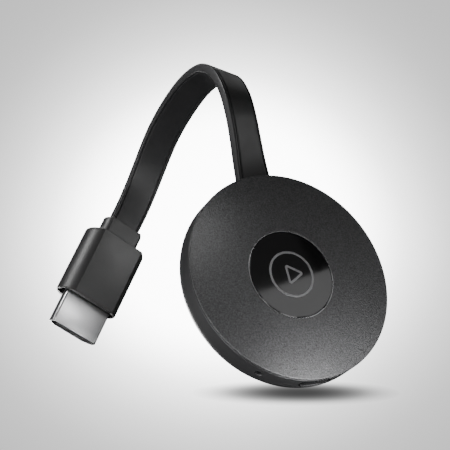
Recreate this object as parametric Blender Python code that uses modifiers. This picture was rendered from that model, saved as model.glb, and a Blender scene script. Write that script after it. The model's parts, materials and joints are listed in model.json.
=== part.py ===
"""Streaming media player: a round dongle on a short, flat, moulded video cable.

Sizes below are in millimetres and every mesh is scaled to metres as it is finished.
The casing is drawn in its own frame: X across, Y up towards the cable, Z out of the front face,
with the middle of the front face at zero. The frame then leans back and stands on its rim.
The plug is drawn in a second frame: X across its width, Z towards its mouth.
"""
import math

import bmesh
import bpy
import numpy as np
from mathutils import Matrix, Vector

MM = 0.001
GAP = 0.3  # clearance between neighbouring pieces

# Casing
CASING_R = 26.0
BAND_DEPTH = 5.0  # straight side band, front face to the start of the rounded back
BACK_FILLET = 5.0
CASING_DEPTH = 11.0
BACK_FLAT_R = 15.0
WALL = 1.5
EDGE_CHAMFER = 0.3
LEAN = math.radians(30.0)  # the disc leans back by this much from upright
STAND_HEIGHT = (
    (CASING_R - BACK_FILLET) * math.cos(LEAN) + BAND_DEPTH * math.sin(LEAN) + BACK_FILLET
)
FRONT_EDGE_Y = (CASING_R - EDGE_CHAMFER) * math.sin(LEAN)
BACK_EDGE_Y = (
    (CASING_R - BACK_FILLET) * math.sin(LEAN) + BAND_DEPTH * math.cos(LEAN) + BACK_FILLET
)
FRAME_Y = (FRONT_EDGE_Y - BACK_EDGE_Y) / 2  # centres the leaning casing over the origin
TURN_STEPS = 96

# Front cover and badge
RIM_THICKNESS = 0.5
COVER_THICKNESS = 1.7
LOCATING_R = CASING_R - WALL - GAP
LOCATING_DEPTH = 2.1
BADGE_R = 10.9
BADGE_THICKNESS = 0.6
POCKET_DEPTH = 1.0

# Board and what is on it
BOARD_R = 22.3
BOARD_FRONT = -4.7
BOARD_THICKNESS = 1.0
BOARD_BACK = BOARD_FRONT - BOARD_THICKNESS
BOARD_TOP_Y = 15.5
SCREW_SPOTS = ((15.5, 5.6), (-15.5, 5.6), (0.0, -16.3))
BOSS_R = 2.1

# Power socket, status light and reset button, all in the rim
SOCKET_Z = -3.1
SOCKET_W = 7.4
SOCKET_H = 2.6
SOCKET_LENGTH = 5.4
SOCKET_MOUTH_Y = -25.3
LIGHT_ANGLE = math.radians(-122.0)
BUTTON_ANGLE = math.radians(-52.0)
BUTTON_Z = -3.1
BUTTON_R = 1.2
FLANGE_R = 1.55
PIPE_R = 0.6

# Flat cable
CABLE_W = 8.9
CABLE_T = 2.3
CABLE_CHAMFER = 0.6
CABLE_Z = -5.4  # middle of the cable where it passes through the rim
FLEX_GAP = 0.6  # slit between the two cable legs at the flex axis
CABLE_STATIONS = 26  # sections along each leg

# Middle line of the cable and the heading of its width, from inside the rim to the plug
CABLE_ROUTE = (
    ((0.0, 12.56, 42.56), (1.00, 0.00, 0.00)),
    ((0.0, 14.26, 45.51), (1.00, 0.00, 0.00)),
    ((-0.1, 16.5, 51.1), (0.99, 0.14, 0.00)),
    ((-0.5, 17.9, 57.1), (0.97, 0.23, 0.00)),
    ((-0.9, 19.5, 62.9), (0.97, 0.24, -0.06)),
    ((-0.9, 22.6, 68.0), (0.97, 0.17, -0.19)),
    ((-0.7, 27.5, 71.7), (0.96, 0.08, -0.28)),
    ((-0.6, 33.4, 72.8), (0.95, -0.01, -0.32)),
    ((-0.7, 39.0, 71.7), (0.95, -0.07, -0.31)),
    ((-1.1, 44.5, 69.1), (0.94, -0.10, -0.31)),
    ((-1.6, 49.4, 65.6), (0.93, -0.15, -0.32)),
    ((-2.2, 53.9, 61.6), (0.92, -0.20, -0.32)),
    ((-2.8, 58.3, 57.0), (0.92, -0.23, -0.31)),
    ((-3.3, 61.8, 52.5), (0.92, -0.25, -0.30)),
    ((-4.2, 64.8, 47.1), (0.92, -0.24, -0.31)),
    ((-5.9, 66.4, 41.5), (0.90, -0.19, -0.39)),
    ((-8.6, 66.2, 36.2), (0.86, -0.13, -0.49)),
    ((-12.0, 65.0, 31.25), (0.83, -0.07, -0.55)),
)
FLEX_POINT = 7  # the route point at the top of the arch, where the cable flexes

# Plug
COLLAR_L = 4.7
COLLAR_FLAT = 9.0
COLLAR_T = 5.6
COLLAR_BULGE = 1.4
BODY_L = 19.1
BODY_FLAT = 12.1
BODY_T = 10.4
BODY_BULGE = 2.85
SHELL_W = 13.9
SHELL_T = 4.45
SHELL_WALL = 0.4
SHELL_EXPOSED = 9.0
SHELL_SEATED = 3.6
SHELL_CHAMFER_W = 2.3
SHELL_CHAMFER_T = 1.7
RECESS_DEPTH = 4.0
RECESS_MARGIN = 0.9
CONTACT_PITCH = 1.0

root_collection = bpy.context.scene.collection


def clear_scene():
    for obj in list(bpy.data.objects):
        bpy.data.objects.remove(obj, do_unlink=True)


def make_collection(name):
    collection = bpy.data.collections.new(name)
    root_collection.children.link(collection)
    return collection


def make_material(name, colour, roughness, metallic=0.0):
    material = bpy.data.materials.new(name)
    material.use_nodes = True
    shader = material.node_tree.nodes["Principled BSDF"]
    shader.inputs["Base Color"].default_value = (*colour, 1.0)
    shader.inputs["Roughness"].default_value = roughness
    shader.inputs["Metallic"].default_value = metallic
    return material


clear_scene()
parts = make_collection("streaming_media_player")
cutters = make_collection("cutters")

grainy_plastic = make_material("grainy_plastic", (0.035, 0.035, 0.036), 0.62)
satin_plastic = make_material("satin_plastic", (0.045, 0.045, 0.046), 0.42)
gloss_plastic = make_material("gloss_plastic", (0.008, 0.008, 0.009), 0.06)
cable_rubber = make_material("cable_rubber", (0.018, 0.018, 0.018), 0.38)
bright_metal = make_material("bright_metal", (0.72, 0.72, 0.72), 0.24, 1.0)
dark_metal = make_material("dark_metal", (0.30, 0.30, 0.31), 0.35, 1.0)
gold = make_material("gold", (0.83, 0.62, 0.26), 0.28, 1.0)
board_green = make_material("board_green", (0.02, 0.10, 0.05), 0.45)
chip_black = make_material("chip_black", (0.02, 0.02, 0.022), 0.5)
ceramic = make_material("ceramic", (0.42, 0.40, 0.36), 0.5)
thermal_grey = make_material("thermal_grey", (0.35, 0.38, 0.42), 0.8)
adhesive_white = make_material("adhesive_white", (0.7, 0.7, 0.68), 0.7)
clear_plastic = make_material("clear_plastic", (0.8, 0.82, 0.85), 0.15)
moulding_black = make_material("moulding_black", (0.025, 0.025, 0.026), 0.5)


def make_empty(name, parent=None, matrix=None):
    empty = bpy.data.objects.new(name, None)
    parts.objects.link(empty)
    empty.parent = parent
    empty.matrix_local = matrix if matrix is not None else Matrix.Identity(4)
    return empty


def finish(name, bm, material, parent, smooth_angle=None):
    """Turns a bmesh in millimetres into a named object in metres under its parent."""
    bmesh.ops.scale(bm, vec=(MM, MM, MM), verts=bm.verts)
    mesh = bpy.data.meshes.new(name)
    bm.to_mesh(mesh)
    bm.free()
    obj = bpy.data.objects.new(name, mesh)
    if material is None:
        cutters.objects.link(obj)
        obj.hide_render = True
        obj.display_type = "WIRE"
    else:
        parts.objects.link(obj)
        mesh.materials.append(material)
    if smooth_angle is not None:
        mesh.shade_smooth()
        mesh.set_sharp_from_angle(angle=math.radians(smooth_angle))
    obj.parent = parent
    return obj


def turned(name, profile, material, parent, steps=TURN_STEPS):
    """A turned piece: its outline from the front of the axis, down the outside, to the back."""
    bm = bmesh.new()
    points = [bm.verts.new((r, 0.0, z)) for r, z in profile]
    for a, b in zip(points, points[1:]):
        bm.edges.new((a, b))
    obj = finish(name, bm, material, parent)
    screw = obj.modifiers.new("turn", "SCREW")
    screw.axis = "Z"
    screw.angle = 2 * math.pi
    screw.steps = screw.render_steps = steps
    screw.use_merge_vertices = True
    screw.merge_threshold = 0.00001
    return obj


def block(name, size, centre, material, parent, bevel=0.0):
    """A box, with its edges rounded by bevel where that is more than nothing."""
    bm = bmesh.new()
    bmesh.ops.create_cube(bm, size=1.0)
    bmesh.ops.scale(bm, vec=size, verts=bm.verts)
    if bevel:
        bmesh.ops.bevel(
            bm, geom=list(bm.edges), offset=bevel, segments=2, profile=0.5, affect="EDGES"
        )
    bmesh.ops.translate(bm, vec=centre, verts=bm.verts)
    return finish(name, bm, material, parent)


def rod(name, radius, z_low, z_high, material, parent, matrix=None, sides=24, chamfer=0.0):
    """A round rod along Z, or along the Z of matrix, with both end rims chamfered."""
    bm = bmesh.new()
    bmesh.ops.create_cone(
        bm, cap_ends=True, segments=sides, radius1=radius, radius2=radius, depth=z_high - z_low
    )
    if chamfer:
        rims = [e for e in bm.edges if abs(e.verts[0].co.z - e.verts[1].co.z) < 1e-6]
        bmesh.ops.bevel(
            bm, geom=rims, offset=chamfer, segments=1, profile=0.5, affect="EDGES"
        )
    bmesh.ops.translate(bm, vec=(0, 0, (z_low + z_high) / 2), verts=bm.verts)
    if matrix is not None:
        bmesh.ops.transform(bm, matrix=matrix, verts=bm.verts)
    return finish(name, bm, material, parent, smooth_angle=40 if material else None)


def prism(name, outline, z_low, z_high, material, parent, bevel=0.0):
    """An outline in X and Y, raised along Z. bevel rounds the rims of both ends."""
    bm = bmesh.new()
    face = bm.faces.new([bm.verts.new((x, y, z_low)) for x, y in outline])
    raised = bmesh.ops.extrude_face_region(bm, geom=[face])
    top = [v for v in raised["geom"] if isinstance(v, bmesh.types.BMVert)]
    bmesh.ops.translate(bm, vec=(0, 0, z_high - z_low), verts=top)
    bmesh.ops.recalc_face_normals(bm, faces=bm.faces)
    if bevel:
        rims = [e for e in bm.edges if abs(e.verts[0].co.z - e.verts[1].co.z) < 1e-6]
        bmesh.ops.bevel(
            bm, geom=rims, offset=bevel, segments=2, profile=0.5, affect="EDGES"
        )
    return finish(name, bm, material, parent, smooth_angle=30 if material else None)


def combine(obj, others, operation):
    """Cuts the others out of obj, or joins them to it."""
    for other in others:
        boolean = obj.modifiers.new(other.name, "BOOLEAN")
        boolean.operation = operation
        boolean.solver = "EXACT"
        boolean.object = other


def arc(centre_r, centre_z, radius, start, end, steps):
    """Points on an arc of a turned outline, between two angles in degrees."""
    turn = [math.radians(start + (end - start) * i / steps) for i in range(steps + 1)]
    return [(centre_r + radius * math.cos(a), centre_z + radius * math.sin(a)) for a in turn]


def bulged_outline(flat, thickness, bulge, steps=10):
    """Two flat faces joined by two outward arcs, as an outline in X and Y."""
    half = thickness / 2
    radius = (half**2 + bulge**2) / (2 * bulge)
    span = math.asin(half / radius)
    side = []
    for i in range(steps + 1):
        a = -span + 2 * span * i / steps
        side.append((flat / 2 + bulge - radius + radius * math.cos(a), radius * math.sin(a)))
    return side + [(-x, -y) for x, y in side]


def socket_outline(width, height, slope):
    """The power socket's mouth: two corners cut off on the side towards the back."""
    w, h = width / 2, height / 2
    return [(-w, h), (-w, -h + slope), (-w + slope, -h), (w - slope, -h), (w, -h + slope), (w, h)]


def shell_outline(inset=0.0, grow=0.0):
    """The plug shell's section: its wide side at +Y and two sloped corners at -Y."""
    w = SHELL_W / 2 - inset + grow
    t = SHELL_T / 2 - inset + grow
    cut_w = SHELL_CHAMFER_W - 0.4 * inset
    cut_t = SHELL_CHAMFER_T - 0.4 * inset
    soft = 0.35
    return [
        (w - soft, t),
        (-w + soft, t),
        (-w, t - soft),
        (-w, -t + cut_t),
        (-w + cut_w, -t),
        (w - cut_w, -t),
        (w, -t + cut_t),
        (w, t - soft),
    ]


def radial(angle, distance, z):
    """A frame on the rim at angle, whose Z points outwards."""
    out = Vector((math.cos(angle), math.sin(angle), 0.0))
    side = Vector((0.0, 0.0, 1.0)).cross(out)
    turn = Matrix((side, Vector((0.0, 0.0, 1.0)), out)).transposed().to_4x4()
    return Matrix.Translation(out * distance + Vector((0, 0, z))) @ turn


# ------------------------------------------------------------------ frames
casing_place = Matrix.Translation(
    Vector((0.0, FRAME_Y, STAND_HEIGHT)) * MM
) @ Matrix.Rotation(math.pi / 2 - LEAN, 4, "X")
casing = make_empty("casing_frame", matrix=casing_place)


def scaled(matrix):
    """The same placement with its offset turned from millimetres to metres."""
    out = matrix.copy()
    out.translation = matrix.translation * MM
    return out


# ------------------------------------------------------------------ covers
def build_rear_cover():
    edge = CASING_R - BACK_FILLET
    floor = -CASING_DEPTH
    top = -(RIM_THICKNESS + GAP)
    outside = [(CASING_R - WALL, top), (CASING_R, top)]
    outside += arc(edge, -BAND_DEPTH, BACK_FILLET, 0, -75, 5)
    outside += [(BACK_FLAT_R, floor), (0.0, floor)]
    inside = [(0.0, floor + WALL), (BACK_FLAT_R, floor + WALL)]
    inside += arc(edge, -BAND_DEPTH, BACK_FILLET - WALL, -75, 0, 4)
    cover = turned(
        "rear_cover", outside + inside + [(CASING_R - WALL, top)], satin_plastic, casing
    )
    boss_top = BOARD_BACK - GAP
    bosses = [
        rod(f"boss_{i}", BOSS_R, floor + WALL / 2, boss_top, None, casing, spot(x, y))
        for i, (x, y) in enumerate(SCREW_SPOTS)
    ]
    combine(cover, bosses, "UNION")
    holes = [
        rod(f"boss_hole_{i}", 1.0, floor + WALL, boss_top + 1, None, casing, spot(x, y), 16)
        for i, (x, y) in enumerate(SCREW_SPOTS)
    ]
    mouth = prism(
        "socket_mouth", socket_outline(SOCKET_W + 0.7, SOCKET_H + 0.7, 1.0), -3, 3, None, casing
    )
    mouth.matrix_local = scaled(socket_frame(-CASING_R))
    slot = block(
        "cable_slot",
        (CABLE_W + 2 * GAP, 6.0, CABLE_T + 2 * GAP),
        (0, CASING_R - 1, CABLE_Z),
        None,
        casing,
    )
    light = rod("light_hole", PIPE_R + 0.25, -4, 2, None, casing, sides=16)
    light.matrix_local = scaled(radial(LIGHT_ANGLE, CASING_R, BUTTON_Z))
    button = rod("button_hole", BUTTON_R + 0.25, -4, 2, None, casing, sides=24)
    button.matrix_local = scaled(radial(BUTTON_ANGLE, CASING_R, BUTTON_Z))
    combine(cover, holes + [mouth, slot, light, button], "DIFFERENCE")


def spot(x, y):
    return Matrix.Translation((x, y, 0.0))


def socket_frame(y):
    """A frame whose Z runs into the casing from the power socket's mouth."""
    turn = Matrix(((-1, 0, 0), (0, 0, 1), (0, 1, 0))).to_4x4()
    return Matrix.Translation((0.0, y, SOCKET_Z)) @ turn


def build_front_cover():
    pocket = BADGE_R + 0.25
    profile = [
        (0.0, -POCKET_DEPTH),
        (pocket, -POCKET_DEPTH),
        (pocket, -0.12),
        (pocket + 0.12, 0.0),
        (CASING_R - EDGE_CHAMFER, 0.0),
        (CASING_R, -EDGE_CHAMFER),
        (CASING_R, -RIM_THICKNESS),
        (LOCATING_R, -RIM_THICKNESS),
        (LOCATING_R, -LOCATING_DEPTH),
        (LOCATING_R - 1.0, -LOCATING_DEPTH),
        (LOCATING_R - 1.0, -COVER_THICKNESS),
        (0.0, -COVER_THICKNESS),
    ]
    cover = turned("front_cover", profile, grainy_plastic, casing)
    relief = block(
        "socket_relief", (SOCKET_W + 2.0, 8.0, 2.0), (0, -23.0, -2.5), None, casing
    )
    button_relief = rod("button_relief", FLANGE_R + GAP, -4, 2, None, casing, sides=24)
    button_relief.matrix_local = scaled(radial(BUTTON_ANGLE, CASING_R, BUTTON_Z))
    combine(cover, [relief, button_relief], "DIFFERENCE")
    badge = [
        (0.0, -0.02),
        (BADGE_R - 0.15, -0.02),
        (BADGE_R, -0.17),
        (BADGE_R, -BADGE_THICKNESS),
        (0.0, -BADGE_THICKNESS),
    ]
    turned("badge_inlay", badge, gloss_plastic, casing)
    glue = BADGE_THICKNESS + 0.1
    adhesive = [(0.0, -glue), (BADGE_R - 0.5, -glue), (BADGE_R - 0.5, -glue - 0.2)]
    turned("badge_adhesive", adhesive + [(0.0, -glue - 0.2)], adhesive_white, casing, 48)


# ------------------------------------------------------------------ electronics
def build_board():
    board = rod("main_board", BOARD_R, BOARD_BACK, BOARD_FRONT, board_green, casing, sides=64)
    top = block(
        "board_top_cut", (60, 20, 6), (0, BOARD_TOP_Y + 10, BOARD_FRONT), None, casing
    )
    holes = [
        rod(f"board_hole_{i}", 1.1, -8, -3, None, casing, spot(x, y), 16)
        for i, (x, y) in enumerate(SCREW_SPOTS)
    ]
    combine(board, [top] + holes, "DIFFERENCE")
    for i, (x, y) in enumerate(SCREW_SPOTS, 1):
        head_low = BOARD_FRONT + 0.1
        shank = [
            (0.0, head_low + 0.9),
            (1.3, head_low + 0.9),
            (1.6, head_low + 0.6),
            (1.6, head_low),
            (0.7, head_low),
            (0.7, -8.6),
            (0.4, -9.0),
            (0.0, -9.0),
        ]
        screw = turned(f"board_screw_{i}", shank, dark_metal, casing, 20)
        screw.location = Vector((x, y, 0)) * MM


def on_front(height):
    """Z of the middle of a component that stands on the front of the board."""
    return BOARD_FRONT + 0.1 + height / 2


def on_back(height):
    return BOARD_BACK - 0.1 - height / 2


def build_components():
    block("system_chip", (13, 13, 1.1), (0, 1, on_back(1.1)), chip_black, casing, 0.15)
    pad_z = BOARD_BACK - 1.3 - 0.3
    block("thermal_pad", (13, 13, 0.5), (0, 1, pad_z), thermal_grey, casing)
    build_heat_spreader(pad_z - 0.25 - 0.1)
    block("memory_chip", (9, 7.5, 0.9), (-10, -8, on_front(0.9)), chip_black, casing, 0.12)
    block("flash_chip", (8, 6, 0.9), (10.5, -7, on_front(0.9)), chip_black, casing, 0.12)
    block("power_inductor", (4, 4, 1.9), (6.2, -14.2, on_front(1.9)), thermal_grey, casing, 0.4)
    block("crystal", (3.2, 2.5, 0.8), (0.0, -9.5, on_front(0.8)), bright_metal, casing, 0.2)
    block("radio_module", (10, 8, 0.8), (0, 5.5, on_front(0.8)), chip_black, casing, 0.1)
    shield = block("radio_shield", (13, 11, 2.1), (0, 5.5, on_front(2.1)), bright_metal, casing)
    hollow = block(
        "shield_hollow", (12.3, 10.3, 2.1), (0, 5.5, on_front(2.1) - 0.4), None, casing
    )
    combine(shield, [hollow], "DIFFERENCE")
    block("cable_header", (10, 3, 1.8), (0, 12.2, on_back(1.8)), moulding_black, casing, 0.2)
    block("cable_tail", (8, 4.2, 0.4), (0, 16.2, on_back(1.8)), cable_rubber, casing)
    block("cable_clamp", (12, 3.6, 3.6), (0, 20.5, CABLE_Z), moulding_black, casing, 0.4)
    for name, start in (("antenna_left", 145), ("antenna_right", -25)):
        build_antenna(name, start)


def build_heat_spreader(top):
    """A pressed plate with its two side flanges turned up along the board's back."""
    half, flange, thick = 11.0, 1.3, 0.5
    outline = [
        (-half, 0.0),
        (-half, flange),
        (-half + thick, flange),
        (-half + thick, thick),
        (half - thick, thick),
        (half - thick, flange),
        (half, flange),
        (half, 0.0),
    ]
    plate = prism("heat_spreader", outline[::-1], -8.5, 8.5, dark_metal, casing)
    plate.matrix_local = scaled(
        Matrix.Translation((0, 1, top - thick)) @ Matrix.Rotation(math.pi / 2, 4, "X")
    )


def build_antenna(name, start):
    """A thin strip that lies along the inside of the rim."""
    bm = bmesh.new()
    inner, outer, low, high = 23.3, 23.6, -7.0, -2.6
    corners = [(inner, low), (outer, low), (outer, high), (inner, high)]
    begin = Matrix.Rotation(math.radians(start), 3, "Z")
    face = bm.faces.new([bm.verts.new(begin @ Vector((r, 0, z))) for r, z in corners])
    bmesh.ops.spin(
        bm,
        geom=[face] + list(face.edges) + list(face.verts),
        cent=(0, 0, 0),
        axis=(0, 0, 1),
        angle=math.radians(60),
        steps=12,
    )
    bmesh.ops.recalc_face_normals(bm, faces=bm.faces)
    finish(name, bm, gold, casing, smooth_angle=30)


def build_power_socket():
    frame = make_empty("power_socket_frame", casing, scaled(socket_frame(SOCKET_MOUTH_Y)))
    shell = prism(
        "power_socket_shell",
        socket_outline(SOCKET_W, SOCKET_H, 0.8),
        0,
        SOCKET_LENGTH,
        bright_metal,
        frame,
    )
    hollow = prism(
        "socket_hollow",
        socket_outline(SOCKET_W - 0.6, SOCKET_H - 0.6, 0.65),
        -1,
        SOCKET_LENGTH - 0.5,
        None,
        frame,
    )
    combine(shell, [hollow], "DIFFERENCE")
    block("power_socket_tongue", (4.0, 0.6, 3.8), (0, 0.2, 2.7), moulding_black, frame)


# ------------------------------------------------------------------ rim details
def build_status_light():
    out = radial(LIGHT_ANGLE, 0.0, BUTTON_Z)
    pipe = rod("light_pipe", PIPE_R, 22.4, 25.85, clear_plastic, casing, sides=16, chamfer=0.1)
    pipe.matrix_local = scaled(out)
    led = block("status_led", (1.6, 0.8, 1.0), (0, -0.95, 21.6), ceramic, casing)
    led.matrix_local = scaled(out)


def build_reset_button():
    axis = make_empty("button_axis", casing, scaled(radial(BUTTON_ANGLE, CASING_R, BUTTON_Z)))
    button = [
        (0.0, -0.1),
        (BUTTON_R - 0.2, -0.1),
        (BUTTON_R, -0.3),
        (BUTTON_R, -1.9),
        (FLANGE_R, -1.9),
        (FLANGE_R, -2.3),
        (0.0, -2.3),
    ]
    turned("reset_button", button, satin_plastic, axis, 24)
    rod("switch_plunger", 0.55, -4.9, -2.6, chip_black, axis, sides=16, chamfer=0.1)
    body = block("switch_body", (4.2, 2.4, 3.4), (0, 0.0, -5.7), moulding_black, axis, 0.15)
    bore = rod("switch_bore", 0.85, -6.1, 0, None, axis, sides=16)
    combine(body, [bore], "DIFFERENCE")


# ------------------------------------------------------------------ flat cable
def route_samples(per_span=24):
    """A smooth line through the route, as (points, width headings)."""
    data = np.array([p + w for p, w in CABLE_ROUTE])
    ends = np.vstack([2 * data[0] - data[1], data, 2 * data[-1] - data[-2]])
    samples = []
    for i in range(len(data) - 1):
        a, b, c, d = ends[i : i + 4]
        for k in range(per_span):
            t = k / per_span
            samples.append(
                0.5
                * (
                    2 * b
                    + (c - a) * t
                    + (2 * a - 5 * b + 4 * c - d) * t**2
                    + (3 * b - a - 3 * c + d) * t**3
                )
            )
    samples.append(data[-1])
    samples = np.array(samples)
    return samples[:, :3], samples[:, 3:]


def cable_section():
    """The cable's outline across its width and thickness."""
    w, t, c = CABLE_W / 2, CABLE_T / 2, CABLE_CHAMFER
    half = [(w, t - c), (w - c, t), (c - w, t), (-w, t - c)]
    return half + [(-x, -y) for x, y in half]


def build_cable():
    points, headings = route_samples()
    steps = np.linalg.norm(np.diff(points, axis=0), axis=1)
    along = np.concatenate([[0.0], np.cumsum(steps)])
    tangents = np.gradient(points, along, axis=0)
    flex = along[FLEX_POINT * 24]
    axis = Vector(CABLE_ROUTE[FLEX_POINT][0])
    hinge = make_empty("cable_flex_axis", None, Matrix.Translation(axis * MM))
    legs = (
        ("flat_cable_casing_leg", 0.0, flex - FLEX_GAP / 2, None, Vector((0, 0, 0))),
        ("flat_cable_plug_leg", flex + FLEX_GAP / 2, along[-1], hinge, axis),
    )
    for name, start, end, parent, origin in legs:
        bm = bmesh.new()
        rings = []
        for s in np.linspace(start, end, CABLE_STATIONS):
            point = Vector([np.interp(s, along, points[:, k]) for k in range(3)]) - origin
            ahead = Vector([np.interp(s, along, tangents[:, k]) for k in range(3)]).normalized()
            wide = Vector([np.interp(s, along, headings[:, k]) for k in range(3)])
            wide = (wide - ahead * wide.dot(ahead)).normalized()
            out = wide.cross(ahead)
            rings.append([bm.verts.new(point + wide * a + out * b) for a, b in cable_section()])
        for lower, upper in zip(rings, rings[1:]):
            for i in range(len(lower)):
                j = (i + 1) % len(lower)
                bm.faces.new((lower[i], lower[j], upper[j], upper[i]))
        bm.faces.new(rings[0][::-1])
        bm.faces.new(rings[-1])
        bmesh.ops.recalc_face_normals(bm, faces=bm.faces)
        finish(name, bm, cable_rubber, parent, smooth_angle=30)
    end = Vector(points[-1])
    mouthward = Vector(tangents[-1]).normalized()
    wide = Vector(headings[-1])
    wide = (wide - mouthward * wide.dot(mouthward)).normalized()
    turn = Matrix((wide, mouthward.cross(wide), mouthward)).transposed().to_4x4()
    return hinge, Matrix.Translation((end - axis) * MM) @ turn


# ------------------------------------------------------------------ plug
def build_plug(hinge, place):
    frame = make_empty("plug_frame", hinge, place)
    collar_end = GAP + COLLAR_L
    prism(
        "plug_collar",
        bulged_outline(COLLAR_FLAT, COLLAR_T, COLLAR_BULGE),
        GAP,
        collar_end,
        cable_rubber,
        frame,
        0.35,
    )
    low = collar_end + GAP
    high = low + BODY_L
    body = prism(
        "plug_overmold",
        bulged_outline(BODY_FLAT, BODY_T, BODY_BULGE),
        low,
        high,
        moulding_black,
        frame,
        0.6,
    )
    recess = prism(
        "plug_recess", shell_outline(grow=RECESS_MARGIN), high - RECESS_DEPTH, high + 1, None, frame
    )
    combine(body, [recess], "DIFFERENCE")
    back = high - SHELL_SEATED
    mouth = high + SHELL_EXPOSED
    shell = prism("plug_shell", shell_outline(), back, mouth, bright_metal, frame)
    hollow = prism(
        "shell_bore", shell_outline(inset=SHELL_WALL), back + 0.5, mouth + 1, None, frame
    )
    combine(shell, [hollow], "DIFFERENCE")
    insert_mouth = mouth - 0.9
    insert = prism(
        "plug_insert",
        shell_outline(inset=SHELL_WALL + 0.25),
        back + 0.8,
        insert_mouth,
        moulding_black,
        frame,
    )
    slot_floor = back + 3.2
    slot = block(
        "insert_slot", (10.8, 1.5, 12), (0, 0.25, slot_floor + 6), None, frame
    )
    combine(insert, [slot], "DIFFERENCE")
    for name, side, count in (("plug_contacts_upper", 1, 10), ("plug_contacts_lower", -1, 9)):
        build_contacts(name, side, count, slot_floor + 0.2, insert_mouth - 0.6, frame)


def build_contacts(name, side, count, low, high, frame):
    """A row of contact fingers joined by a bar at their inner end, as one comb-shaped plate."""
    half = 0.22
    outline = []
    middle = (count - 1) / 2
    for i in range(count):
        x, tip = (i - middle) * CONTACT_PITCH, high - low
        outline += [(x - half, 0.5), (x - half, tip), (x + half, tip), (x + half, 0.5)]
    left, right = outline[0][0], outline[-1][0]
    outline = [(left, 0.0)] + outline[1:-1] + [(right, 0.0)]
    plate = prism(name, outline[::-1], -0.12, 0.12, gold, frame)
    plate.matrix_local = scaled(
        Matrix.Translation((0, 0.25 + side * 0.5, low)) @ Matrix.Rotation(math.pi / 2, 4, "X")
    )


build_rear_cover()
build_front_cover()
build_board()
build_components()
build_power_socket()
build_status_light()
build_reset_button()
build_plug(*build_cable())
bpy.context.view_layer.update()
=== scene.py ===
"""Looks of the streaming media player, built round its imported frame.

The new pieces are drawn in millimetres in two frames of their own and then put in the row frame.
Casing frame: X across, Y up towards the cable, Z out of the front face, zero in its middle.
Plug frame: X across the plug, Y out of its wide face, Z towards its mouth, zero at the cable's end.
"""
import json
import math

import bmesh
import bpy
import numpy as np
from mathutils import Matrix, Vector


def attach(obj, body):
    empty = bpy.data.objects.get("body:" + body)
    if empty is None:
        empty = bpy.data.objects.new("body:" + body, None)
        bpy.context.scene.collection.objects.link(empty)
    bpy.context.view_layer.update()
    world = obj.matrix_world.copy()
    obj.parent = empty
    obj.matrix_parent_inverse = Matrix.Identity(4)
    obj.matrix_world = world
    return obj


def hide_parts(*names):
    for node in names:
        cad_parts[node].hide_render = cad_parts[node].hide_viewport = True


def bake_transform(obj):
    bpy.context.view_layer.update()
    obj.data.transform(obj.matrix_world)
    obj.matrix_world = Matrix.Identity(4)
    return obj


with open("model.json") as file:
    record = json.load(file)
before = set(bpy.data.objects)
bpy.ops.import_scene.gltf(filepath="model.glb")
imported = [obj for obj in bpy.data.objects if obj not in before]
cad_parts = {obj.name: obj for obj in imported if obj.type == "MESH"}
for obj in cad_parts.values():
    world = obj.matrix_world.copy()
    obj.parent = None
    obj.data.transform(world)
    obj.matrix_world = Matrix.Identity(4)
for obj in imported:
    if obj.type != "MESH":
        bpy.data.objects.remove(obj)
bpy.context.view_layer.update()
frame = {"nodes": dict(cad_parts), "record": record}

MM = 0.001
SMOOTH_ANGLE = math.radians(32.0)  # edges that turn further than this stay sharp

# Casing
CASING_R = 26.0
CASING_DEPTH = 11.0
BAND_DEPTH = 5.0
BACK_FILLET = 5.0
BACK_FLAT_R = 15.0
WALL = 1.5
FACE_EDGE_R = 0.25
RIM_THICKNESS = 0.5
SEAM_Z = -0.8  # the rear cover's front edge, below the seam
LOCATING_R = 24.2
LOCATING_DEPTH = 2.1
LOCATING_WALL = 1.0
COVER_THICKNESS = 1.7
POCKET_R = 11.15
POCKET_DEPTH = 1.0
TURN_STEPS = 288

# Badge
BADGE_R = 10.9
BADGE_TOP = -0.02
BADGE_BOTTOM = -0.6
# The light grey ring round the badge is a painted highlight, standing for the shine on the pocket's
# edge
HIGHLIGHT_RING_INNER_R = BADGE_R + 0.05
HIGHLIGHT_RING_OUTER_R = POCKET_R - 0.04
HIGHLIGHT_RING_LOW, HIGHLIGHT_RING_HIGH = -0.7, -0.05
MARK_RISE = 0.03  # how far the mark stands out of the badge
MARK_INNER_R, MARK_OUTER_R = 5.3, 5.85
TRIANGLE_REACH = 3.2  # from the triangle's middle to its corners
TRIANGLE_STROKE = 0.55
TRIANGLE_SHIFT = 0.35

# Openings in the rim, and what stands in them
RIM_Z = -3.1
CUT_IN, CUT_OUT = -4.0, 2.0  # how far the rim's cutters reach inwards and outwards
HOLE_CLEARANCE = 0.25
HOLE_FLARE = 0.12
SLOT_CLEARANCE = 0.3  # round the cable
SOCKET_W = 7.4
SOCKET_H = 2.6
SOCKET_LENGTH = 5.4
SOCKET_MOUTH_Y = -25.3
SOCKET_CLEARANCE = 0.35
SOCKET_WALL = 0.3
SOCKET_BACK_WALL = 0.5
SOCKET_RELIEF_AT = (0.0, -23.0, -2.5)
SOCKET_RELIEF_SIZE = (SOCKET_W + 2.0, 8.0, 2.0)
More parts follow.
